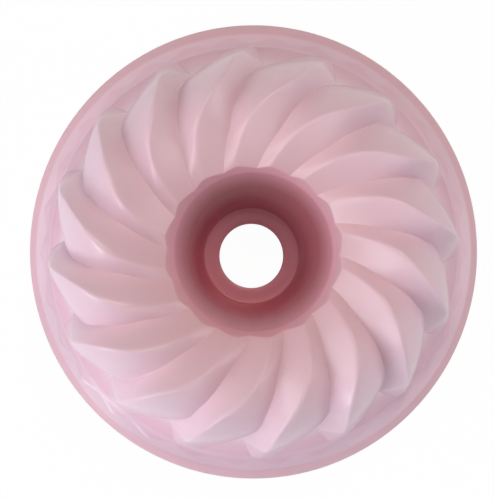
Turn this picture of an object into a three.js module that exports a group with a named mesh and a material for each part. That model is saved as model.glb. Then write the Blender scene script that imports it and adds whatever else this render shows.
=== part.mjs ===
// Swirled silicone ring-cake mould, standing on its rim with the crown up.
// Millimetres, +Z up, origin at the middle of the circle that the rim stands on.
// One moulding in real life, shown as its zones: rim skirt, flange, zigzag band,
// swirled flutes, scalloped collar, funnel and the ledge round the centre hole.

import * as THREE from 'three';
import { mergeVertices } from 'three/addons/utils/BufferGeometryUtils.js';

// Wall of the moulding, and the gap left free between two zones
const WALL = 2;
const JOIN_GAP = 0.3;

// Rim skirt: a thick edge that slopes down and out from the flange to the table
const RIM_RADIUS = 126;
const SKIRT_RUN = 4.6;
const RIM_TOP_RADIUS = RIM_RADIUS - SKIRT_RUN;
const RIM_FOOT_WIDTH = 3.2;
const RIM_TOP_WIDTH = 0.8;

// Flange and the low band with a zigzag outer edge that lies on it
const FLANGE_TOP = 8;
const FLANGE_WIDTH = 7.8;
const BAND_TEETH = 30;
const BAND_HEIGHT = 0.4;
const BAND_WIDTH = 1;
const TOOTH_DEPTH = 3.8;
const FIRST_TOOTH_DEG = 0.5;

// Outer wall, measured in the creases between the flutes
const FOOT_RADIUS = RIM_TOP_RADIUS - FLANGE_WIDTH;
const WALL_RUN = 13.9;
const WALL_RISE = 38;
const WALL_TOP_RADIUS = FOOT_RADIUS - WALL_RUN;
const WALL_TOP_HEIGHT = FLANGE_TOP + WALL_RISE;

// Crown: how far the wall's direction and the dip towards the collar carry on into its arch
const WALL_RUN_ON = 34;
const CROWN_RUN_IN = 28;
const CROWN_DIP = 17;

// Flutes: how far each ridge stands out of the creased surface
const FLUTE_COUNT = 16;
const FIRST_TIP_DEG = 2.4;
const RIDGE_AT_WALL_TOP = 9;
const RIDGE_AT_COLLAR = 4;
const RIDGE_CROWN_BULGE = 7;
const RIDGE_ROUNDNESS = 0.15;
const TIP_HALF_WIDTH_DEG = 2.2;

// Share of the way from the foot to the collar at which the bare wall ends
const WALL_SHARE = 0.3;

// Swirl, as [share of the way from foot to collar, degrees past the flute's tip]
const RIDGE_SWIRL = [[0, 0], [WALL_SHARE, 1.2], [0.36, 2.2], [0.42, 3.3], [0.5, 5.3],
  [0.6, 9.5], [0.7, 15.5], [0.8, 21.5], [0.9, 26.3], [1, 31.5]];
const CREASE_SWIRL = [[0, -10.5], [WALL_SHARE, -6], [0.36, -2.8], [0.42, -0.5], [0.5, 1],
  [0.6, 3.4], [0.7, 5.8], [0.8, 8.4], [0.9, 12.7], [1, 17.8]];

// Collar, funnel and ledge
const HOLE_RADIUS = 17.7;
const LEDGE_WIDTH = 8.6;
const LEDGE_HEIGHT = 8;
const LEDGE_RADIUS = HOLE_RADIUS + LEDGE_WIDTH;
const FUNNEL_RUN = 15.1;
const FUNNEL_TOP_RADIUS = LEDGE_RADIUS + FUNNEL_RUN;
const COLLAR_RUN = 2.6;
const COLLAR_RADIUS = FUNNEL_TOP_RADIUS + COLLAR_RUN;
const COLLAR_LEAN_DEG = 22;
const COLLAR_RISE = 20;
const COLLAR_HEIGHT = WALL_TOP_HEIGHT + COLLAR_RISE;

// Fineness of the facets
const RING_STEPS = 80;
const WALL_ROWS = [0, WALL_SHARE / 3, 2 * WALL_SHARE / 3, WALL_SHARE];
const FLUTE_ROWS = [...WALL_ROWS, 0.36, 0.42, 0.5, 0.56, 0.62, 0.7, 0.8, 0.9, 1];
const FACE_STEPS = 4;
const WELD_DISTANCE = 0.001;

const SILICONE = { color: 0xdcb2ba, roughness: 0.5, metalness: 0 };
const DEEP_SILICONE = { color: 0xb0747c, roughness: 0.5, metalness: 0 };

const radians = THREE.MathUtils.degToRad;
const lerp = THREE.MathUtils.lerp;
const pitchDeg = 360 / FLUTE_COUNT;

// Value between the two knots that a share falls between
function along(knots, share) {
  const next = Math.max(1, knots.findIndex(([at]) => at >= share));
  const [fromShare, fromValue] = knots[next - 1];
  const [toShare, toValue] = knots[next];
  return lerp(fromValue, toValue, (share - fromShare) / (toShare - fromShare));
}

// Directions in the plane of a radius (x outward, y up)
const collarLean = radians(COLLAR_LEAN_DEG);
const collarUp = new THREE.Vector2(Math.sin(collarLean), Math.cos(collarLean));
const collarOut = new THREE.Vector2(collarUp.y, -collarUp.x);
const foot = new THREE.Vector2(FOOT_RADIUS, FLANGE_TOP);
const wallTop = new THREE.Vector2(WALL_TOP_RADIUS, WALL_TOP_HEIGHT);
const wallUp = wallTop.clone().sub(foot).normalize();
const collarLow = new THREE.Vector2(COLLAR_RADIUS, COLLAR_HEIGHT);
const fluteEnd = collarLow.clone().addScaledVector(collarOut, WALL + JOIN_GAP);

// Creased surface over the crown, from the top of the bare wall to the collar
const crown = new THREE.CubicBezierCurve(
  wallTop,
  wallTop.clone().addScaledVector(wallUp, WALL_RUN_ON),
  fluteEnd.clone().add(new THREE.Vector2(CROWN_RUN_IN, CROWN_DIP)),
  fluteEnd,
);

const crownShare = (share) => Math.max(0, (share - WALL_SHARE) / (1 - WALL_SHARE));

function creasePoint(share) {
  if (share <= WALL_SHARE) {
    return foot.clone().lerp(wallTop, share / WALL_SHARE);
  }
  return crown.getPoint(crownShare(share));
}

// Ridges stand square to the wall at the foot and turn up along the collar, most of it at the shoulder
function ridgeDirection(share) {
  const wallLean = Math.atan2(-wallUp.x, wallUp.y);
  const turned = 1 - (1 - crownShare(share)) ** 2;
  const lean = lerp(wallLean, Math.PI / 2 - collarLean, turned);
  return new THREE.Vector2(Math.cos(lean), Math.sin(lean));
}

function ridgeHeight(share) {
  if (share <= WALL_SHARE) {
    return RIDGE_AT_WALL_TOP * share / WALL_SHARE;
  }
  const over = crownShare(share);
  return lerp(RIDGE_AT_WALL_TOP, RIDGE_AT_COLLAR, over) + RIDGE_CROWN_BULGE * 4 * over * (1 - over);
}

// Flat faces that meet in a rounded ridge: 1 on the ridge, 0 at the edge
function faceHeight(away) {
  const round = (x) => Math.hypot(x, RIDGE_ROUNDNESS) - RIDGE_ROUNDNESS;
  return 1 - round(away) / round(1);
}

// Angles of one flute at a share of its length: crease, edge, ridge, edge, crease
function fluteAngles(share) {
  const crease = along(CREASE_SWIRL, share);
  const ridge = along(RIDGE_SWIRL, share);
  const grown = Math.min(1, share / WALL_SHARE);
  const near = along(CREASE_SWIRL, Math.max(share, WALL_SHARE));
  const tipRidge = along(RIDGE_SWIRL, Math.max(share, WALL_SHARE));
  const before = lerp(TIP_HALF_WIDTH_DEG, tipRidge - near, grown);
  const after = lerp(TIP_HALF_WIDTH_DEG, near + pitchDeg - tipRidge, grown);
  return { crease, start: ridge - before, ridge, end: ridge + after, nextCrease: crease + pitchDeg };
}

// Points across a flute: angle in degrees, and height as a share of the ridge's
function fluteSection(share) {
  const { crease, start, ridge, end, nextCrease } = fluteAngles(share);
  const points = [{ angle: crease, height: 0 }];
  for (let step = 0; step < FACE_STEPS; step += 1) {
    const done = step / FACE_STEPS;
    points.push({ angle: lerp(start, ridge, done), height: faceHeight(1 - done) });
  }
  for (let step = 0; step <= FACE_STEPS; step += 1) {
    const done = step / FACE_STEPS;
    points.push({ angle: lerp(ridge, end, done), height: faceHeight(done) });
  }
  points.push({ angle: nextCrease, height: 0 });
  return points;
}

function atAngle(point, angleDeg) {
  const angle = radians(angleDeg);
  return new THREE.Vector3(point.x * Math.cos(angle), point.x * Math.sin(angle), point.y);
}

// Closed body between two grids of points that share their rows and columns. A ring's
// last column lies on its first, so it has no side walls
function shellGeometry(outer, inner, isRing = false) {
  const rows = outer.length;
  const columns = outer[0].length;
  const points = [...outer.flat(), ...inner.flat()];
  const out = (row, column) => row * columns + column;
  const inn = (row, column) => rows * columns + out(row, column);
  const triangles = [];
  const quad = (a, b, c, d) => triangles.push([a, b, c], [a, c, d]);
  for (let row = 0; row + 1 < rows; row += 1) {
    for (let column = 0; column + 1 < columns; column += 1) {
      quad(out(row, column), out(row, column + 1), out(row + 1, column + 1), out(row + 1, column));
      quad(inn(row, column), inn(row + 1, column), inn(row + 1, column + 1), inn(row, column + 1));
    }
    if (!isRing) {
      const last = columns - 1;
      quad(out(row, 0), out(row + 1, 0), inn(row + 1, 0), inn(row, 0));
      quad(out(row, last), inn(row, last), inn(row + 1, last), out(row + 1, last));
    }
  }
  for (let column = 0; column + 1 < columns; column += 1) {
    const top = rows - 1;
    quad(out(0, column), inn(0, column), inn(0, column + 1), out(0, column + 1));
    quad(out(top, column), out(top, column + 1), inn(top, column + 1), inn(top, column));
  }
  return weldedGeometry(points, triangles);
}

// Merges points that lie on one another and drops the triangles that this closes up
function weldedGeometry(points, triangles) {
  const loose = new THREE.BufferGeometry().setFromPoints(points);
  loose.setIndex(triangles.flat());
  const welded = mergeVertices(loose, WELD_DISTANCE);
  const index = welded.index.array;
  const kept = [];
  for (let at = 0; at < index.length; at += 3) {
    const [a, b, c] = [index[at], index[at + 1], index[at + 2]];
    if (a !== b && b !== c && c !== a) {
      kept.push(a, b, c);
    }
  }
  welded.setIndex(kept);
  welded.computeVertexNormals();
  return welded;
}

// Outer skin of one flute, with half the parting gap left free along each crease
function fluteSkin() {
  return FLUTE_ROWS.map((share) => {
    const crease = creasePoint(share);
    const rise = ridgeDirection(share).multiplyScalar(ridgeHeight(share));
    const gapDeg = THREE.MathUtils.radToDeg(JOIN_GAP / 2 / crease.x);
    const section = fluteSection(share);
    const middle = section[0].angle + pitchDeg / 2;
    const squeeze = 1 - 2 * gapDeg / pitchDeg;
    return section.map(({ angle, height }) => {
      const point = crease.clone().addScaledVector(rise, height);
      return atAngle(point, middle + (angle - middle) * squeeze);
    });
  });
}

// Direction square to the creased surface, pointing out of the mould
function creaseOutward(share) {
  const step = 0.01;
  const before = creasePoint(Math.max(0, share - step));
  const after = creasePoint(Math.min(1, share + step));
  const run = after.sub(before).normalize();
  return new THREE.Vector2(run.y, -run.x);
}

// Inner skin: one wall inside the outer skin, flat at the foot and along the collar
function fluteLining(skin) {
  const triangles = [];
  const columns = skin[0].length;
  for (let row = 0; row + 1 < skin.length; row += 1) {
    for (let column = 0; column + 1 < columns; column += 1) {
      const a = row * columns + column;
      triangles.push(a, a + 1, a + columns + 1, a, a + columns + 1, a + columns);
    }
  }
  const sheet = new THREE.BufferGeometry().setFromPoints(skin.flat());
  sheet.setIndex(triangles);
  sheet.computeVertexNormals();
  const normals = sheet.getAttribute('normal');
  return skin.map((points, row) => points.map((point, column) => {
    const angle = Math.atan2(point.y, point.x);
    const radial = (flat) => new THREE.Vector3(flat.x * Math.cos(angle), flat.x * Math.sin(angle), flat.y);
    if (row === 0) {
      return point.clone().addScaledVector(radial(new THREE.Vector2(1, 0)), -WALL);
    }
    if (row === skin.length - 1) {
      return point.clone().addScaledVector(radial(collarUp), -WALL);
    }
    const nearCrease = column < 2 || column > columns - 3;
    const normal = new THREE.Vector3().fromBufferAttribute(normals, row * columns + column);
    const outward = nearCrease ? radial(creaseOutward(FLUTE_ROWS[row])) : normal;
    return point.clone().addScaledVector(outward, -WALL);
  }));
}

function siliconeMesh(name, geometry, finish = SILICONE) {
  const mesh = new THREE.Mesh(geometry, new THREE.MeshStandardMaterial(finish));
  mesh.name = name;
  return mesh;
}

// Ring turned from a closed outline of [radius, height] corners
function ring(name, corners, finish) {
  const outline = corners.map(([radius, height]) => new THREE.Vector2(radius, height));
  outline.push(outline[0].clone());
  const geometry = new THREE.LatheGeometry(outline, RING_STEPS);
  geometry.rotateX(Math.PI / 2);
  return siliconeMesh(name, geometry, finish);
}

function rimSkirt() {
  const inside = RIM_TOP_RADIUS - RIM_TOP_WIDTH;
  return ring('rim_skirt', [
    [RIM_RADIUS - RIM_FOOT_WIDTH, 0],
    [RIM_RADIUS, 0],
    [RIM_TOP_RADIUS, FLANGE_TOP],
    [inside, FLANGE_TOP],
    [inside, FLANGE_TOP - WALL],
  ]);
}

function flange() {
  const inside = FOOT_RADIUS - WALL;
  const outside = RIM_TOP_RADIUS - RIM_TOP_WIDTH - JOIN_GAP;
  return ring('flange', [
    [inside, FLANGE_TOP - WALL],
    [outside, FLANGE_TOP - WALL],
    [outside, FLANGE_TOP],
    [inside, FLANGE_TOP],
  ]);
}

// Low band round the foot of the wall, with a zigzag outer edge
function zigzagBand() {
  const inside = FOOT_RADIUS + JOIN_GAP;
  const around = (steps, radiusAt) => Array.from({ length: steps }, (_, step) => {
    const angle = radians(FIRST_TOOTH_DEG) + 2 * Math.PI * step / steps;
    return new THREE.Vector2(Math.cos(angle), Math.sin(angle)).multiplyScalar(radiusAt(step));
  });
  const teeth = around(2 * BAND_TEETH, (step) => inside + BAND_WIDTH + (step % 2 ? 0 : TOOTH_DEPTH));
  const band = new THREE.Shape(teeth);
  band.holes.push(new THREE.Path(around(2 * BAND_TEETH, () => inside)));
  const geometry = new THREE.ExtrudeGeometry(band, { depth: BAND_HEIGHT, bevelEnabled: false });
  geometry.translate(0, 0, FLANGE_TOP);
  return siliconeMesh('zigzag_band', geometry);
}

function flutes() {
  const group = new THREE.Group();
  const skin = fluteSkin();
  const geometry = shellGeometry(skin, fluteLining(skin));
  for (let number = 0; number < FLUTE_COUNT; number += 1) {
    const mesh = siliconeMesh(`flute_${String(number + 1).padStart(2, '0')}`, geometry);
    mesh.rotation.z = radians(FIRST_TIP_DEG + pitchDeg * number);
    group.add(mesh);
  }
  return group;
}

// Conical band whose top edge rises to each ridge and falls to each crease
function collar() {
  const bottom = new THREE.Vector2(FUNNEL_TOP_RADIUS, funnelTopHeight);
  const bottomOut = new THREE.Vector2(bottom.x + WALL / collarOut.x, bottom.y);
  // At the collar the creases lie on the faces' edges, and a flute's last edge is the next one's first
  const section = fluteSection(1).slice(1, -2);
  const outer = [[], []];
  const inner = [[], []];
  for (let number = 0; number < FLUTE_COUNT; number += 1) {
    for (const { angle, height } of section) {
      const turned = angle + FIRST_TIP_DEG + pitchDeg * number;
      const top = collarLow.clone().addScaledVector(collarUp, height * RIDGE_AT_COLLAR);
      const topOut = top.clone().addScaledVector(collarOut, WALL);
      outer[0].push(atAngle(bottomOut, turned));
      outer[1].push(atAngle(topOut, turned));
      inner[0].push(atAngle(bottom, turned));
      inner[1].push(atAngle(top, turned));
    }
  }
  for (const row of [...outer, ...inner]) {
    row.push(row[0].clone());
  }
  return siliconeMesh('collar', shellGeometry(outer, inner, true));
}

const funnelTopHeight = COLLAR_HEIGHT - COLLAR_RUN / Math.tan(collarLean);

function funnel() {
  const lean = Math.atan2(FUNNEL_TOP_RADIUS - LEDGE_RADIUS, funnelTopHeight - LEDGE_HEIGHT);
  const across = WALL / Math.cos(lean);
  return ring('funnel', [
    [LEDGE_RADIUS, LEDGE_HEIGHT],
    [LEDGE_RADIUS + across, LEDGE_HEIGHT],
    [FUNNEL_TOP_RADIUS + across, funnelTopHeight],
    [FUNNEL_TOP_RADIUS, funnelTopHeight],
  ], DEEP_SILICONE);
}

function throatLip() {
  const outside = LEDGE_RADIUS + WALL;
  return ring('throat_lip', [
    [HOLE_RADIUS, LEDGE_HEIGHT - WALL],
    [outside, LEDGE_HEIGHT - WALL],
    [outside, LEDGE_HEIGHT],
    [HOLE_RADIUS, LEDGE_HEIGHT],
  ], DEEP_SILICONE);
}

const mould = new THREE.Group();
mould.name = 'ring_cake_mould';
mould.add(rimSkirt(), flange(), zigzagBand(), flutes(), collar(), funnel(), throatLip());

export default mould;
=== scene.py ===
"""Swirled silicone ring-cake mould, rim down and crown up, on a plain pale table."""
from math import atan2, cos, degrees, hypot, pi, radians, sin

import bpy
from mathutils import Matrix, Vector


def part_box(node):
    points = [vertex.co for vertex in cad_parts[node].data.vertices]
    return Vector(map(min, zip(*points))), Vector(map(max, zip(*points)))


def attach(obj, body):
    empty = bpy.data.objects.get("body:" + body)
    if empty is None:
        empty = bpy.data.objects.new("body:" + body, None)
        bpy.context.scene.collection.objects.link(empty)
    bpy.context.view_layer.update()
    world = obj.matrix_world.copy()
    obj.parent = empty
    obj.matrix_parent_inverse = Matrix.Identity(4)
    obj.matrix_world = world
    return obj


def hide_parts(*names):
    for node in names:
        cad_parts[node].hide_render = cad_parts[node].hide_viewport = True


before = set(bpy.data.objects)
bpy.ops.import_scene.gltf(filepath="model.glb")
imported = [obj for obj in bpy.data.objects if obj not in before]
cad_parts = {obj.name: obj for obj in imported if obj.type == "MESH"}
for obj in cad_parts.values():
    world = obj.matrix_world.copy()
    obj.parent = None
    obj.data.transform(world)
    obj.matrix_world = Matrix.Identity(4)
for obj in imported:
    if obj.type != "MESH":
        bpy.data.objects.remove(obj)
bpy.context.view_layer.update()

bl_info = {
    "name": "Swirled silicone ring-cake mould",
    "version": (1, 0, 0),
    "blender": (4, 5, 0),
    "location": "3D View > Sidebar > Ring mould",
    "description": "Builds a fluted silicone ring-cake mould and the table it stands on",
    "category": "Object",
}

MM = 0.001

# Sizes that the frame gives, in metres
RIM_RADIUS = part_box("rim_skirt")[1].x
FLANGE_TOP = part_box("flange")[1].z
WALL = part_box("flange")[1].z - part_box("flange")[0].z
BAND_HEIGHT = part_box("zigzag_band")[1].z - FLANGE_TOP
COLLAR_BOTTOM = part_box("collar")[0].z
LEDGE_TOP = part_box("throat_lip")[1].z
LEDGE_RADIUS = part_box("throat_lip")[1].x - WALL

FLUTES = sorted(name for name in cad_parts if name.startswith("flute_"))
PITCH_DEG = 360 / len(FLUTES)

# Outer wall and crown, measured in the creases between the flutes, as (radius, height)
FOOT = Vector((113.6 * MM, FLANGE_TOP))
WALL_HEAD = Vector((99.7 * MM, 46 * MM))
COLLAR_LOW = Vector((44 * MM, 66 * MM))
COLLAR_LEAN = radians(22)

# How far the wall's direction and the dip towards the collar carry on into the crown's arch
WALL_RUN_ON = 34 * MM
CROWN_RUN_IN = Vector((28 * MM, 17 * MM))

# Share of the way from the foot to the collar at which the bare wall ends
WALL_SHARE = 0.3

# Swirl, as (share of the way from foot to collar, degrees past the flute's tip)
RIDGE_SWIRL = ((0, 0), (WALL_SHARE, 1.2), (0.36, 2.2), (0.42, 3.3), (0.5, 5.3),
               (0.6, 9.5), (0.7, 15.5), (0.8, 21.5), (0.9, 26.3), (1, 31.5))
CREASE_SWIRL = ((WALL_SHARE, -6), (0.36, -2.8), (0.42, -0.5), (0.5, 1),
                (0.6, 3.4), (0.7, 5.8), (0.8, 8.4), (0.9, 12.7), (1, 17.8))
SECTOR_AT_FOOT_DEG = -10.5

# Where the columns of points lie across the bare wall and across a face, from its edge to the ridge
WALL_PARTS = (0, 0.35, 0.7, 0.95)
FACE_PARTS = (0, 0.015, 0.08, 0.23, 0.42, 0.6, 0.76, 0.88, 0.96)

# Attribute of the mesh that holds painted shade: the bare wall between the flutes, and part of the zigzag
# band
PAINTED_WALL_SHADE = "painted_wall_shade"

# How the soft mould has set out of round: stretch along X at the table and at the collar,
# and how far the bottom of its funnel has shifted
STRETCH_AT_RIM = -0.007
STRETCH_AT_COLLAR = 0.014
FUNNEL_SHIFT = Vector((-1.2 * MM, -2.2 * MM))

# Photograph's frame, in pixels, and the middle of the rim in it
PHOTO_WIDTH = 494
PHOTO_HEIGHT = 500
RIM_MIDDLE_X = 253.5
RIM_MIDDLE_Y = 251.9
MM_PER_PIXEL = 0.554


def linear(hex_colour):
    """Linear RGBA of an sRGB colour written as #rrggbb."""
    channels = [int(hex_colour[at:at + 2], 16) / 255 for at in (1, 3, 5)]
    return (*(c / 12.92 if c <= 0.04045 else ((c + 0.055) / 1.055) ** 2.4 for c in channels), 1.0)


def mix(a, b, share):
    """Value that share of the way from a to b."""
    return a + (b - a) * share


def along(knots, share):
    """Smooth curve through knots of (share, value), with each slope taken from a knot's neighbours."""
    last = len(knots) - 1
    at = min(max(sum(knot[0] <= share for knot in knots) - 1, 0), last - 1)

    def slope(index):
        low, high = knots[max(index - 1, 0)], knots[min(index + 1, last)]
        return (high[1] - low[1]) / (high[0] - low[0])

    (start, begin), (stop, end) = knots[at], knots[at + 1]
    width = stop - start
    t = (share - start) / width
    rise = (end - begin) * t * t * (3 - 2 * t)
    bend = width * (slope(at) * t * (1 - t) ** 2 - slope(at + 1) * t * t * (1 - t))
    return begin + rise + bend


class MouldSizes(bpy.types.PropertyGroup):
    """Sizes of the moulding that a user would change."""

    ridge_at_foot: bpy.props.FloatProperty(
        name="Ridge at foot", description="How far a flute's blunt end stands out of the wall's foot",
        default=0.8 * MM, unit="LENGTH")
    ridge_at_wall_top: bpy.props.FloatProperty(
        name="Ridge at wall top", description="How far a ridge stands out where the bare wall ends",
        default=8.4 * MM, unit="LENGTH")
    ridge_at_collar: bpy.props.FloatProperty(
        name="Ridge at collar", description="How far a ridge stands above the creases at the collar",
        default=4 * MM, unit="LENGTH")
    ridge_bulge: bpy.props.FloatProperty(
        name="Ridge bulge", description="Extra height of a ridge over the shoulder",
        default=5.2 * MM, unit="LENGTH")
    tip_round: bpy.props.FloatProperty(
        name="Tip roundness", description="Share of a face that its ridge rounds off at the foot",
        default=0.6, min=0.02, max=1, subtype="FACTOR")
    nose_round: bpy.props.FloatProperty(
        name="Nose roundness", description="Share of a face that its ridge rounds off at the nose",
        default=0.08, min=0.02, max=1, subtype="FACTOR")
    crown_round: bpy.props.FloatProperty(
        name="Crown roundness", description="Share of a face that its ridge rounds off at the collar",
        default=0.13, min=0.02, max=1, subtype="FACTOR")
    crease_width: bpy.props.FloatProperty(
        name="Crease width", description="Width of the bottom of each crease",
        default=0.2 * MM, unit="LENGTH")
    foot_fillet: bpy.props.FloatProperty(
        name="Foot fillet", description="Rounding where the wall runs out into the flange",
        default=3 * MM, unit="LENGTH")
    edge_round: bpy.props.FloatProperty(
        name="Edge rounding", description="Rounding of the rim, collar and hole edges",
        default=0.5 * MM, unit="LENGTH")
    tip_half_width: bpy.props.FloatProperty(
        name="Tip half width", description="Half the width of a flute's rounded tip at the foot",
        default=radians(2.7), unit="ROTATION")
    first_tip: bpy.props.FloatProperty(
        name="First tip", description="Direction of the first flute's tip, from +X",
        default=radians(2.4), unit="ROTATION")
    rim_top_radius: bpy.props.FloatProperty(
        name="Rim top radius", description="Radius where the flange turns down into the rim skirt",
        default=121.4 * MM, unit="LENGTH")
    flange_droop: bpy.props.FloatProperty(
        name="Flange droop", description="How far the soft flange sinks from the wall to the rim",
        default=3.6 * MM, unit="LENGTH")
    rim_foot_width: bpy.props.FloatProperty(
        name="Rim foot width", description="Width of the ring that the mould stands on",
        default=3.2 * MM, unit="LENGTH")
    funnel_radius: bpy.props.FloatProperty(
        name="Funnel radius", description="Radius of the funnel's mouth below the collar",
        default=41.4 * MM, unit="LENGTH")
    hole_radius: bpy.props.FloatProperty(
        name="Hole radius", description="Radius of the hole in the ledge",
        default=17.7 * MM, unit="LENGTH")
    teeth: bpy.props.IntProperty(
        name="Teeth", description="Teeth of the zigzag band on the flange", default=30, min=3)
    tooth_depth: bpy.props.FloatProperty(
        name="Tooth depth", description="Depth of the zigzag",
        default=3.8 * MM, unit="LENGTH")
    first_tooth: bpy.props.FloatProperty(
        name="First tooth", description="Direction of the first tooth's point, from +X",
        default=radians(0.5), unit="ROTATION")


class MouldColours(bpy.types.PropertyGroup):
    """Colours of the moulding and its stage. Only the crown's colour is the silicone's own; the
    moulding's other colours are painted light and shade.
    """

    silicone: bpy.props.StringProperty(
        name="Silicone", description="Colour of the crown, as sRGB hex", default="#dbb2ba")
    # Painted light: the flutes' feet and flange paler, as if lit from the pale table
    pale_painted_light: bpy.props.StringProperty(
        name="Pale painted light", description="Colour of the flutes' feet and flange, as sRGB hex",
        default="#e0bfcd")
    # Painted shade: the wall between the flutes pinker, for its shade and the pink light bounced between
    # flutes
    wall_painted_shade: bpy.props.StringProperty(
        name="Wall painted shade", description="Colour of the wall between flutes, as sRGB hex",
        default="#dfb1c2")
    # Painted shade: the collar redder than the crown, where the funnel's shade begins
    collar_painted_shade: bpy.props.StringProperty(
        name="Collar painted shade", description="Colour of the collar, as sRGB hex", default="#e2a6b3")
    # Painted shade: the funnel's mouth redder still
    mouth_painted_shade: bpy.props.StringProperty(
        name="Mouth painted shade", description="Colour of the funnel's mouth, as sRGB hex", default="#d08999")
    # Painted shade: the funnel dark red, for its shade and the red light bounced between its walls
    deep_painted_shade: bpy.props.StringProperty(
        name="Deep painted shade", description="Colour down the funnel, as sRGB hex", default="#af4b5e")
    # Painted shade at the foot of the funnel wall, lighter than the deep colour: painted light that lifts
    # the shade there
    well_painted_shade: bpy.props.StringProperty(
        name="Well painted shade", description="Colour of the funnel's bottom, as sRGB hex", default="#b8626e")
    # Painted shade: the ledge, and a band just under the funnel's mouth, red
    ledge_painted_shade: bpy.props.StringProperty(
        name="Ledge painted shade", description="Colour of the ledge, as sRGB hex", default="#bf7584")
    # Painted shade: the thick rim a darker pink
    rim_painted_shade: bpy.props.StringProperty(
        name="Rim painted shade", description="Colour of the thick rim, as sRGB hex", default="#dcb0bc")
    table: bpy.props.StringProperty(
        name="Table", description="Colour of the table, as sRGB hex", default="#f4f3f2")


def add_node(tree, kind, inputs=None, **settings):
    """Adds a node with its settings, and sets or links its inputs by name or number."""
    node = tree.nodes.new(kind)
    for name, value in settings.items():
        setattr(node, name, value)
    for key, value in (inputs or {}).items():
        if isinstance(value, bpy.types.NodeSocket):
            tree.links.new(value, node.inputs[key])
        else:
            node.inputs[key].default_value = value
    return node


def colour_by_radius(tree, place, stops):
    """Colour that runs from stop to stop of (radius in mm, hex colour) outward from the mould's axis."""
    level = add_node(tree, "ShaderNodeVectorMath", {0: place, 1: (1, 1, 0)}, operation="MULTIPLY")
    radius = add_node(tree, "ShaderNodeVectorMath", {0: level.outputs["Vector"]}, operation="LENGTH")
    share = add_node(tree, "ShaderNodeMapRange",
                     {"Value": radius.outputs["Value"], "From Max": RIM_RADIUS})
    ramp = add_node(tree, "ShaderNodeValToRGB", {"Fac": share.outputs["Result"]})
    elements = ramp.color_ramp.elements
    while len(elements) < len(stops):
        elements.new(1.0)
    for element, (stop, colour) in zip(elements, stops):
        element.position = stop * MM / RIM_RADIUS
        element.color = linear(colour)
    return ramp.outputs["Color"]


def moulded_silicone(colours):
    """Platinum-cured silicone, pressed in a fine-blasted steel tool: a satin skin with a very fine
    even grain and a soft broad highlight. Its own colour is the crown's; the rest is painted light
    and shade: paler flutes' feet and flange for painted light from the pale table, a pinker wall
    between the flutes and a darker rim for painted shade, and a redder funnel for painted shade and
    the red light passed between its walls."""
    grain_mm = 0.5
    cloud_mm = 40
    material = bpy.data.materials.new("moulded satin silicone")
    material.use_nodes = True
    tree = material.node_tree
    tree.nodes.clear()
    place = add_node(tree, "ShaderNodeTexCoord").outputs["Object"]
    # Colour by distance from the axis: the crown's is the silicone's own, the others painted light and
    # shade
    zones = (
        (26.8, colours.ledge_painted_shade),
        (28.5, colours.well_painted_shade),
        (32, colours.deep_painted_shade),
        (35, colours.deep_painted_shade),
        (38.5, colours.ledge_painted_shade),
        (41, colours.mouth_painted_shade),
        (41.9, colours.collar_painted_shade),
        (46, colours.silicone),
        (95, colours.pale_painted_light),
        (120.5, colours.pale_painted_light),
        (121.5, colours.rim_painted_shade),
    )
    ramp_with_painted_light = colour_by_radius(tree, place, zones)
    cloud = add_node(tree, "ShaderNodeTexNoise",
                     {"Vector": place, "Scale": 1 / (cloud_mm * MM), "Detail": 3.0, "Roughness": 0.5})
    bloom = add_node(tree, "ShaderNodeMapRange",
                     {"Value": cloud.outputs["Fac"], "To Min": 0.97, "To Max": 1.03})
    # Painted shade: the bare wall between the flutes, and part of the zigzag band, take the wall's pinker
    # colour
    wall = add_node(tree, "ShaderNodeAttribute", attribute_name=PAINTED_WALL_SHADE)
    # On a colour mix, inputs 6 and 7 are its two colours and output 2 is its result
    with_wall_shade = add_node(tree, "ShaderNodeMix", {
        "Factor": wall.outputs["Fac"], 6: ramp_with_painted_light, 7: linear(colours.wall_painted_shade)}, data_type="RGBA")
    tint = add_node(tree, "ShaderNodeHueSaturation", {
        "Value": bloom.outputs["Result"], "Color": with_wall_shade.outputs[2]})
    # The real grain is about 0.05 mm, drawn ten times coarser so that it shows
    grain = add_node(tree, "ShaderNodeTexNoise",
                     {"Vector": place, "Scale": 1 / (grain_mm * MM), "Detail": 2.0, "Roughness": 0.6})
    satin = add_node(tree, "ShaderNodeMapRange",
                     {"Value": grain.outputs["Fac"], "To Min": 0.26, "To Max": 0.28})
    skin = add_node(tree, "ShaderNodeBump",
                    {"Height": grain.outputs["Fac"], "Strength": 0.005, "Distance": 0.2 * MM})
    silicone = add_node(tree, "ShaderNodeBsdfPrincipled", {
        "Base Color": tint.outputs["Color"],
        "Roughness": satin.outputs["Result"],
        "Normal": skin.outputs["Normal"],
        "IOR": 1.41,
        "Subsurface Weight": 0.12,
        "Subsurface Radius": (1.0, 0.45, 0.4),
        "Subsurface Scale": 2 * MM,
    })
    add_node(tree, "ShaderNodeOutputMaterial", {"Surface": silicone.outputs["BSDF"]})
    return material


def backdrop_share(tree):
    """Share of plain white in the table and the studio: nearly all to the eye, less in reflections."""
    seen_share = 0.97
    mirrored_share = 0.25
    ray = add_node(tree, "ShaderNodeLightPath")
    mirrored = add_node(tree, "ShaderNodeMath", {
        0: ray.outputs["Is Glossy Ray"], 1: ray.outputs["Is Transmission Ray"]}, operation="ADD")
    seen = add_node(tree, "ShaderNodeMath", {
        0: ray.outputs["Is Camera Ray"], 1: seen_share}, operation="MULTIPLY")
    share = add_node(tree, "ShaderNodeMath", {
        0: mirrored.outputs["Value"], 1: mirrored_share, 2: seen.outputs["Value"]},
        operation="MULTIPLY_ADD")
    return share.outputs["Value"]


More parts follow.
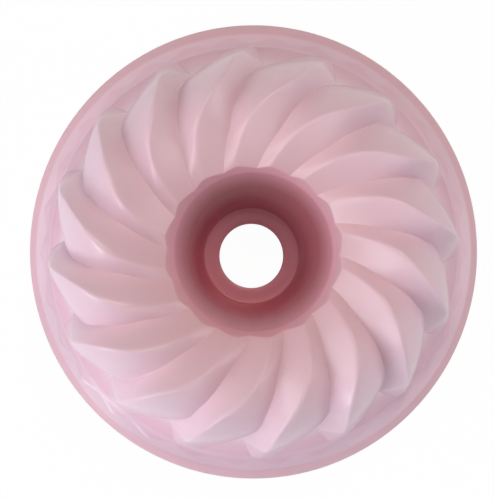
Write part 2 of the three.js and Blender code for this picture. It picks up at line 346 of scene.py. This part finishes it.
def painted_table(colours):
    """Matt white painted board: pale and even, it keeps a faint shadow and reads as a white ground."""
    material = bpy.data.materials.new("matt white painted board")
    material.use_nodes = True
    tree = material.node_tree
    tree.nodes.clear()
    paint = add_node(tree, "ShaderNodeBsdfDiffuse", {"Color": linear(colours.table)})
    white = add_node(tree, "ShaderNodeEmission", {"Color": (1, 1, 1, 1), "Strength": 1.0})
    both = add_node(tree, "ShaderNodeMixShader", {
        0: backdrop_share(tree), 1: paint.outputs["BSDF"], 2: white.outputs["Emission"]})
    add_node(tree, "ShaderNodeOutputMaterial", {"Surface": both.outputs["Shader"]})
    return material


def turned_copies_tree():
    """Geometry Nodes tree that repeats one slice round +Z and welds the slices into a ring."""
    tree = bpy.data.node_groups.new("Turned copies", "GeometryNodeTree")
    sockets = (("Slice", "NodeSocketGeometry"), ("Copies", "NodeSocketInt"),
               ("First turn", "NodeSocketFloat"), ("Weld", "NodeSocketFloat"),
               ("Finish", "NodeSocketMaterial"))
    for name, kind in sockets:
        tree.interface.new_socket(name, in_out="INPUT", socket_type=kind)
    tree.interface.new_socket("Ring", in_out="OUTPUT", socket_type="NodeSocketGeometry")
    given = add_node(tree, "NodeGroupInput").outputs
    places = add_node(tree, "GeometryNodeMeshLine",
                      {"Count": given["Copies"], "Offset": (0, 0, 0)}, mode="OFFSET")
    number = add_node(tree, "GeometryNodeInputIndex")
    step = add_node(tree, "ShaderNodeMath", {0: 2 * pi, 1: given["Copies"]}, operation="DIVIDE")
    turned = add_node(tree, "ShaderNodeMath", {
        0: number.outputs["Index"], 1: step.outputs["Value"], 2: given["First turn"]},
        operation="MULTIPLY_ADD")
    turn = add_node(tree, "ShaderNodeCombineXYZ", {"Z": turned.outputs["Value"]})
    copies = add_node(tree, "GeometryNodeInstanceOnPoints", {
        "Points": places.outputs["Mesh"], "Instance": given["Slice"], "Rotation": turn.outputs["Vector"]})
    real = add_node(tree, "GeometryNodeRealizeInstances", {"Geometry": copies.outputs["Instances"]})
    ring = add_node(tree, "GeometryNodeMergeByDistance", {
        "Geometry": real.outputs["Geometry"], "Distance": given["Weld"]})
    finished = add_node(tree, "GeometryNodeSetMaterial", {
        "Geometry": ring.outputs["Geometry"], "Material": given["Finish"]})
    add_node(tree, "NodeGroupOutput", {"Ring": finished.outputs["Geometry"]})
    return tree


def ring_of_slices(name, rows, copies, first_turn, material):
    """Mesh of a slice, given as closed rows of points, repeated round +Z."""
    mesh = bpy.data.meshes.new(f"{name}_slice")
    columns = len(rows[0])
    faces = []
    for row in range(len(rows)):
        above = (row + 1) % len(rows)
        for column in range(columns - 1):
            faces.append((row * columns + column, row * columns + column + 1,
                          above * columns + column + 1, above * columns + column))
    mesh.from_pydata([point for row in rows for point in row], [], faces)
    slice_object = bpy.data.objects.new(f"{name}_slice", mesh)
    bpy.context.collection.objects.link(slice_object)
    tree = turned_copies_tree()
    modifier = slice_object.modifiers.new("Turned copies", "NODES")
    modifier.node_group = tree
    given = {"Copies": copies, "First turn": first_turn, "Weld": 0.01 * MM, "Finish": material}
    for item in tree.interface.items_tree:
        if item.in_out == "INPUT" and item.name in given:
            modifier[item.identifier] = given[item.name]
    bpy.context.view_layer.update()
    evaluated = slice_object.evaluated_get(bpy.context.evaluated_depsgraph_get())
    ring_mesh = bpy.data.meshes.new_from_object(evaluated)
    slice_object.modifiers.remove(modifier)
    bpy.data.objects.remove(slice_object)
    ring_mesh.name = name
    for polygon in ring_mesh.polygons:
        polygon.use_smooth = True
    return ring_mesh


class FluteShape:
    """Outer surface of the fluted wall and crown, by share of the way from foot to collar."""

    def __init__(self, sizes):
        self.sizes = sizes
        self.wall_up = (WALL_HEAD - FOOT).normalized()
        self.wall_lean = atan2(-self.wall_up.x, self.wall_up.y)
        self.handle_out = WALL_HEAD + self.wall_up * WALL_RUN_ON
        self.handle_in = COLLAR_LOW + CROWN_RUN_IN

    def over(self, share):
        """Share of the way over the crown."""
        return max(0.0, (share - WALL_SHARE) / (1 - WALL_SHARE))

    def crease_point(self, share):
        """Radius and height of the creased surface."""
        if share <= WALL_SHARE:
            return FOOT.lerp(WALL_HEAD, share / WALL_SHARE)
        t = self.over(share)
        q = 1 - t
        return (WALL_HEAD * q ** 3 + self.handle_out * (3 * q * q * t)
                + self.handle_in * (3 * q * t * t) + COLLAR_LOW * t ** 3)

    def crease_outward(self, share):
        """Direction square to the creased surface, out of the mould."""
        step = 0.01
        run = self.crease_point(min(1, share + step)) - self.crease_point(max(0, share - step))
        return Vector((run.y, -run.x)).normalized()

    def ridge_direction(self, share):
        """Direction in which ridges stand out of the creased surface."""
        upright = 1 - (1 - self.over(share)) ** 2
        lean = mix(self.wall_lean, pi / 2 - COLLAR_LEAN, upright)
        return Vector((cos(lean), sin(lean)))

    def ridge_height(self, share):
        """Height of the ridge above the creased surface."""
        sizes = self.sizes
        if share <= WALL_SHARE:
            return mix(sizes.ridge_at_foot, sizes.ridge_at_wall_top, share / WALL_SHARE)
        t = self.over(share)
        even = mix(sizes.ridge_at_wall_top, sizes.ridge_at_collar, t)
        return even + sizes.ridge_bulge * 4 * t * (1 - t)

    def edges(self, share):
        """Angles in degrees of a flute's crease, near edge, ridge, far edge and next crease."""
        full = max(share, WALL_SHARE)
        grown = min(1.0, share / WALL_SHARE)
        full_ridge = along(RIDGE_SWIRL, full)
        full_crease = along(CREASE_SWIRL, full)
        floor = degrees(self.sizes.crease_width / 2 / self.crease_point(share).x)
        tip = degrees(self.sizes.tip_half_width)
        crease = mix(SECTOR_AT_FOOT_DEG, full_crease, grown)
        ridge = along(RIDGE_SWIRL, share)
        near = ridge - mix(tip, full_ridge - full_crease - floor, grown)
        far = ridge + mix(tip, full_crease + PITCH_DEG - full_ridge - floor, grown)
        return crease, near, ridge, far, crease + PITCH_DEG

    def columns(self, share):
        """Angle of each column of points, and its way from the ridge as a share of its face."""
        crease, near, ridge, far, next_crease = self.edges(share)
        columns = [(mix(crease, near, part), 1.0) for part in WALL_PARTS]
        columns += [(mix(near, ridge, part), 1 - part) for part in FACE_PARTS]
        columns.append((ridge, 0.0))
        columns += [(mix(far, ridge, part), 1 - part) for part in reversed(FACE_PARTS)]
        columns += [(mix(next_crease, far, part), 1.0) for part in reversed(WALL_PARTS)]
        return columns

    def face_height(self, share, away):
        """Height on a face, as a share of its ridge's: flat faces that meet in a rounded ridge."""
        sizes = self.sizes
        over_crown = mix(sizes.nose_round, sizes.crown_round, self.over(share))
        soft = mix(sizes.tip_round, over_crown, min(1.0, share / WALL_SHARE))
        return 1 - (hypot(away, soft) - soft) / (hypot(1, soft) - soft)

    def row(self, share, depth=0.0):
        """Points across one flute, at a depth below its outer surface."""
        base = self.crease_point(share) - self.crease_outward(share) * depth
        ridge = self.ridge_direction(share) * self.ridge_height(share)
        return [turned(base + ridge * self.face_height(share, away), angle)
                for angle, away in self.columns(share)]

    def ring_row(self, share, flat):
        """Points of a plain ring of one radius and height, in columns that even out past the foot."""
        even_from = 2 * MM
        columns = self.columns(share)
        first, last = columns[0][0], columns[-1][0]
        evenness = min(max((flat.x - FOOT.x) / even_from, 0.0), 1.0)
        row = []
        for number, (angle, _) in enumerate(columns):
            even = mix(first, last, number / (len(columns) - 1))
            row.append(turned(flat, mix(angle, even, evenness)))
        return row


def turned(flat, angle):
    """Point in space of a (radius, height) at an angle in degrees."""
    return Vector((flat.x * cos(radians(angle)), flat.x * sin(radians(angle)), flat.y))


def rounded_corner(before, corner, after, radius, steps=3):
    """Points of a small arc, as a quadratic curve, that replaces a corner of an outline."""
    start = corner + (before - corner).normalized() * min(radius, (before - corner).length / 2)
    stop = corner + (after - corner).normalized() * min(radius, (after - corner).length / 2)
    points = []
    for step in range(steps + 1):
        t = step / steps
        points.append(start * (1 - t) ** 2 + corner * (2 * t * (1 - t)) + stop * t * t)
    return points


def even_steps(start, stop, count):
    """Points strictly between two points of an outline."""
    return [start.lerp(stop, step / (count + 1)) for step in range(1, count + 1)]


def rim_outline(sizes):
    """Outside of the rim and flange, from the table to the foot of the wall."""
    skirt_rows = 2
    flange_rows = 18
    fillet_rows = 8
    edge = sizes.edge_round
    foot_outer = Vector((RIM_RADIUS, 0))
    foot_inner = Vector((RIM_RADIUS - sizes.rim_foot_width, 0))
    rim_top = Vector((sizes.rim_top_radius, FLANGE_TOP - sizes.flange_droop))
    outline = rounded_corner(foot_inner, foot_outer, rim_top, edge)
    outline += even_steps(outline[-1], rim_top, skirt_rows)
    outline += rounded_corner(foot_outer, rim_top, FOOT, edge)
    flange_end = FOOT + (rim_top - FOOT).normalized() * sizes.foot_fillet
    outline += even_steps(outline[-1], flange_end, flange_rows)
    outline += rounded_corner(rim_top, FOOT, WALL_HEAD, sizes.foot_fillet, fillet_rows)[:-1]
    return outline


def rim_lining(sizes):
    """Inside of the flange and rim, from the foot of the wall to the table."""
    edge = sizes.edge_round
    foot_outer = Vector((RIM_RADIUS, 0))
    foot_inner = Vector((RIM_RADIUS - sizes.rim_foot_width, 0))
    rim_under = Vector((sizes.rim_top_radius - WALL / 2, FLANGE_TOP - WALL - sizes.flange_droop))
    wall_inside = Vector((FOOT.x - WALL, FLANGE_TOP - WALL))
    outline = rounded_corner(WALL_HEAD, wall_inside, rim_under, edge)
    outline += rounded_corner(wall_inside, rim_under, foot_inner, edge)
    outline += rounded_corner(rim_under, foot_inner, foot_outer, edge)
    return outline


def well_outline(sizes):
    """Funnel, ledge and hole, down the inside and back up the outside."""
    funnel_rows = 7
    ledge_rows = 2
    lining_rows = 3
    edge = sizes.edge_round
    collar_foot = Vector((sizes.funnel_radius, COLLAR_BOTTOM))
    ledge = Vector((LEDGE_RADIUS, LEDGE_TOP))
    hole_top = Vector((sizes.hole_radius, LEDGE_TOP))
    hole_bottom = Vector((sizes.hole_radius, LEDGE_TOP - WALL))
    lean = atan2(sizes.funnel_radius - LEDGE_RADIUS, COLLAR_BOTTOM - LEDGE_TOP)
    across = WALL / cos(lean)
    under_ledge = Vector((LEDGE_RADIUS + across, LEDGE_TOP - WALL))
    under_collar = Vector((sizes.funnel_radius + across, COLLAR_BOTTOM))
    outline = rounded_corner(COLLAR_LOW, collar_foot, ledge, edge)
    outline += even_steps(outline[-1], ledge, funnel_rows)
    outline += rounded_corner(collar_foot, ledge, hole_top, edge)
    outline += even_steps(outline[-1], hole_top, ledge_rows)
    outline += rounded_corner(ledge, hole_top, hole_bottom, edge)
    outline += rounded_corner(hole_top, hole_bottom, under_ledge, edge)
    outline += rounded_corner(hole_bottom, under_ledge, under_collar, edge)
    outline += even_steps(outline[-1], under_collar, lining_rows)
    return outline


def collar_rows(shape):
    """Rows of the collar, from its rounded scalloped edge towards the circle of the funnel's mouth."""
    short_of_collar = 0.96
    row_parts = (0.35, 0.7)
    edge = shape.sizes.edge_round
    scallop = shape.row(1)
    crown = shape.row(short_of_collar)
    circle = shape.ring_row(1, Vector((shape.sizes.funnel_radius, COLLAR_BOTTOM)))
    above = [peak + (back - peak).normalized() * edge for peak, back in zip(scallop, crown)]
    below = [peak + (low - peak).normalized() * edge for peak, low in zip(scallop, circle)]
    corner = [(a + peak * 2 + b) / 4 for a, peak, b in zip(above, scallop, below)]
    rows = [above, corner, below]
    for part in row_parts:
        rows.append([high.lerp(low, part) for high, low in zip(below, circle)])
    return rows


def moulding_slice(sizes):
    """Closed rows of points of one flute's slice of the whole moulding, outer skin first."""
    wall_rows = 24
    crown_rows = 56
    lining_rows = 26
    first_share = 0.03
    last_share = 0.98
    lining_share = 0.96
    shape = FluteShape(sizes)
    rows = [shape.ring_row(0, flat) for flat in rim_outline(sizes)]
    for step in range(wall_rows):
        rows.append(shape.row(mix(first_share, WALL_SHARE, step / wall_rows)))
    for step in range(crown_rows + 1):
        rows.append(shape.row(mix(WALL_SHARE, last_share, step / crown_rows)))
    rows += collar_rows(shape)
    rows += [shape.ring_row(1, flat) for flat in well_outline(sizes)]
    for step in range(lining_rows + 1):
        rows.append(shape.row(mix(lining_share, first_share, step / lining_rows), WALL))
    rows += [shape.ring_row(0, flat) for flat in rim_lining(sizes)]
    return rows


def mark_bare_wall(mesh, sizes):
    """Notes on the mesh where the wall's painted shade goes: fully on the bare wall between the flutes,
    less up a flute's face.
    """
    face_share = 0.3
    foot_fade = 0.1
    head_fade = 0.4
    marks = mesh.attributes.new(PAINTED_WALL_SHADE, "FLOAT", "POINT")
    for vertex, mark in zip(mesh.vertices, marks.data):
        place = vertex.co
        up = (place.z - FOOT.y) / (WALL_HEAD.y - FOOT.y)
        out = hypot(place.x, place.y) - mix(FOOT.x, WALL_HEAD.x, up)
        if 0 < up < 1 and out > -WALL / 2:
            ridge = mix(sizes.ridge_at_foot, sizes.ridge_at_wall_top, up)
            bare = max(0.0, 1 - abs(out) / (ridge * face_share))
            mark.value = bare * min(1.0, up / foot_fade, (1 - up) / head_fade)


def press_zigzag(mesh, sizes):
    """Raises the low band with a zigzag outer edge out of the flange, and gives it some of the wall's
    painted shade.
    """
    band_painted_shade = 0.45
    slope = 1.3 * MM
    valley = FOOT.x + 1.3 * MM
    marks = mesh.attributes[PAINTED_WALL_SHADE].data
    for vertex, mark in zip(mesh.vertices, marks):
        place = vertex.co
        radius = hypot(place.x, place.y)
        along_flange = (radius - FOOT.x) / (sizes.rim_top_radius - FOOT.x)
        above = place.z - mix(FLANGE_TOP, FLANGE_TOP - sizes.flange_droop, along_flange)
        if radius < FOOT.x - sizes.foot_fillet or abs(above) > sizes.foot_fillet / 2:
            continue
        turn = (atan2(place.y, place.x) - sizes.first_tooth) * sizes.teeth / (2 * pi)
        pointed = 2 * abs(turn - round(turn))
        edge = valley + sizes.tooth_depth * (1 - pointed)
        part = min(max((edge - radius) / slope + 0.5, 0.0), 1.0)
        fade = 1 - above / (sizes.foot_fillet / 2)
        raised = part * part * (3 - 2 * part) * min(fade, 1.0)
        place.z += BAND_HEIGHT * raised
        # The raised band takes part of the wall's painted shade
        mark.value = max(mark.value, band_painted_shade * raised)


def settle(mesh):
    """Sets a mesh out of round as the soft mould stands: a touch oval, with its funnel to one side."""
    for vertex in mesh.vertices:
        place = vertex.co
        stretch = mix(STRETCH_AT_RIM, STRETCH_AT_COLLAR, place.z / COLLAR_BOTTOM)
        radius = hypot(place.x, place.y)
        depth = (COLLAR_BOTTOM - place.z) / (COLLAR_BOTTOM - LEDGE_TOP)
        place.x *= 1 + stretch
        place.y *= 1 - stretch
        if radius < COLLAR_LOW.x:
            place.x += FUNNEL_SHIFT.x * max(0.0, depth)
            place.y += FUNNEL_SHIFT.y * max(0.0, depth)


class MOULD_OT_moulding(bpy.types.Operator):
    """Adds the moulding: rim skirt, flange, zigzag, flutes, collar, funnel and ledge in one skin"""

    bl_idname = "mould.moulding"
    bl_label = "Add moulding"

    def execute(self, context):
        sizes = context.scene.mould_sizes
        material = moulded_silicone(context.scene.mould_colours)
        rows = moulding_slice(sizes)
        mesh = ring_of_slices("silicone_moulding", rows, len(FLUTES), sizes.first_tip, material)
        mark_bare_wall(mesh, sizes)
        press_zigzag(mesh, sizes)
        settle(mesh)
        moulding = bpy.data.objects.new(mesh.name, mesh)
        context.collection.objects.link(moulding)
        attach(moulding, "root")
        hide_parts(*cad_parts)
        return {"FINISHED"}


class MOULD_OT_stage(bpy.types.Operator):
    """Adds the table, the soft lamps and the camera straight above"""

    bl_idname = "mould.stage"
    bl_label = "Add stage"

    def execute(self, context):
        scene = context.scene
        scene.view_settings.view_transform = "Standard"
        add_table(scene.mould_colours)
        add_lamps()
        add_world(scene)
        add_camera(scene)
        return {"FINISHED"}


def add_table(colours):
    """Plain pale table top that the rim stands on."""
    half = 2.0
    mesh = bpy.data.meshes.new("table_top")
    corners = [(-half, -half, 0), (half, -half, 0), (half, half, 0), (-half, half, 0)]
    mesh.from_pydata(corners, [], [(0, 1, 2, 3)])
    mesh.materials.append(painted_table(colours))
    table = bpy.data.objects.new("table_top", mesh)
    bpy.context.collection.objects.link(table)


def add_lamps():
    """Ring of soft boxes: a broad key on the left, low fill in front and on the right, and high fill
    behind and in front."""
    distance = 1.3
    plain = (1.0, 1.0, 1.0)
    cool = (0.9, 0.96, 1.0)
    warm = (1.0, 0.96, 0.86)
    # Name, degrees round from +X, degrees up, width in metres, watts and colour
    lamps = (
        ("left key soft box", 184, 32, 0.9, 6.4, cool),
        ("left front soft box", 222, 30, 0.6, 3.8, cool),
        ("left front low soft box", 225, 10, 0.4, 3.9, cool),
        ("right front soft box", 315, 32, 0.8, 1.7, cool),
        ("right front low soft box", 300, 10, 0.8, 2.4, cool),
        ("right soft box", 0, 22, 0.6, 2.7, cool),
        ("right back soft box", 64, 55, 0.6, 5.5, warm),
        ("back soft box", 85, 72, 0.6, 3.1, warm),
        ("front high soft box", 255, 62, 0.6, 1.2, plain),
    )
    for name, round_deg, up_deg, width, watts, colour in lamps:
        light = bpy.data.lights.new(name, "AREA")
        light.shape = "DISK"
        light.size = width
        light.energy = watts
        light.color = colour
        level = distance * cos(radians(up_deg))
        height = distance * sin(radians(up_deg))
        lamp = bpy.data.objects.new(name, light)
        lamp.location = (level * cos(radians(round_deg)), level * sin(radians(round_deg)), height)
        lamp.rotation_euler = (-lamp.location).to_track_quat("-Z", "Y").to_euler()
        bpy.context.collection.objects.link(lamp)


def add_world(scene):
    """Plain studio, white to the eye, that gives the object a dim even light."""
    world = bpy.data.worlds.new("white studio")
    world.use_nodes = True
    tree = world.node_tree
    tree.nodes.clear()
    dim = add_node(tree, "ShaderNodeBackground", {"Color": (1, 1, 1, 1), "Strength": 0.04})
    white = add_node(tree, "ShaderNodeBackground", {"Color": (1, 1, 1, 1), "Strength": 1.0})
    both = add_node(tree, "ShaderNodeMixShader", {
        0: backdrop_share(tree), 1: dim.outputs["Background"], 2: white.outputs["Background"]})
    add_node(tree, "ShaderNodeOutputWorld", {"Surface": both.outputs["Shader"]})
    scene.world = world


def add_camera(scene):
    """Camera on the mould's axis, looking straight down, framed as in the photograph."""
    height = 0.9
    data = bpy.data.cameras.new("camera")
    data.sensor_width = 36
    data.lens = data.sensor_width * (height - FLANGE_TOP) / (PHOTO_HEIGHT * MM_PER_PIXEL * MM)
    data.shift_x = (PHOTO_WIDTH / 2 - RIM_MIDDLE_X) / PHOTO_HEIGHT
    data.shift_y = (RIM_MIDDLE_Y - PHOTO_HEIGHT / 2) / PHOTO_HEIGHT
    camera = bpy.data.objects.new("camera", data)
    camera.location = (0, 0, height)
    bpy.context.collection.objects.link(camera)
    scene.camera = camera


class MOULD_PT_panel(bpy.types.Panel):
    """Sizes, colours and build steps of the mould"""

    bl_idname = "MOULD_PT_panel"
    bl_label = "Ring-cake mould"
    bl_space_type = "VIEW_3D"
    bl_region_type = "UI"
    bl_category = "Ring mould"

    def draw(self, context):
        for operator in OPERATORS:
            self.layout.operator(operator.bl_idname)
        for group in (context.scene.mould_sizes, context.scene.mould_colours):
            for name in group.__annotations__:
                self.layout.prop(group, name)


OPERATORS = (MOULD_OT_moulding, MOULD_OT_stage)
CLASSES = (MouldSizes, MouldColours, *OPERATORS, MOULD_PT_panel)


def register():
    """Registers the classes and puts their values on the scene."""
    for item in CLASSES:
        bpy.utils.register_class(item)
    bpy.types.Scene.mould_sizes = bpy.props.PointerProperty(type=MouldSizes)
    bpy.types.Scene.mould_colours = bpy.props.PointerProperty(type=MouldColours)


def unregister():
    """Takes back what register added."""
    del bpy.types.Scene.mould_colours
    del bpy.types.Scene.mould_sizes
    for item in reversed(CLASSES):
        bpy.utils.unregister_class(item)


def main():
    """Builds the object and its stage."""
    register()
    bpy.ops.mould.moulding()
    bpy.ops.mould.stage()


if __name__ == "__main__":
    main()
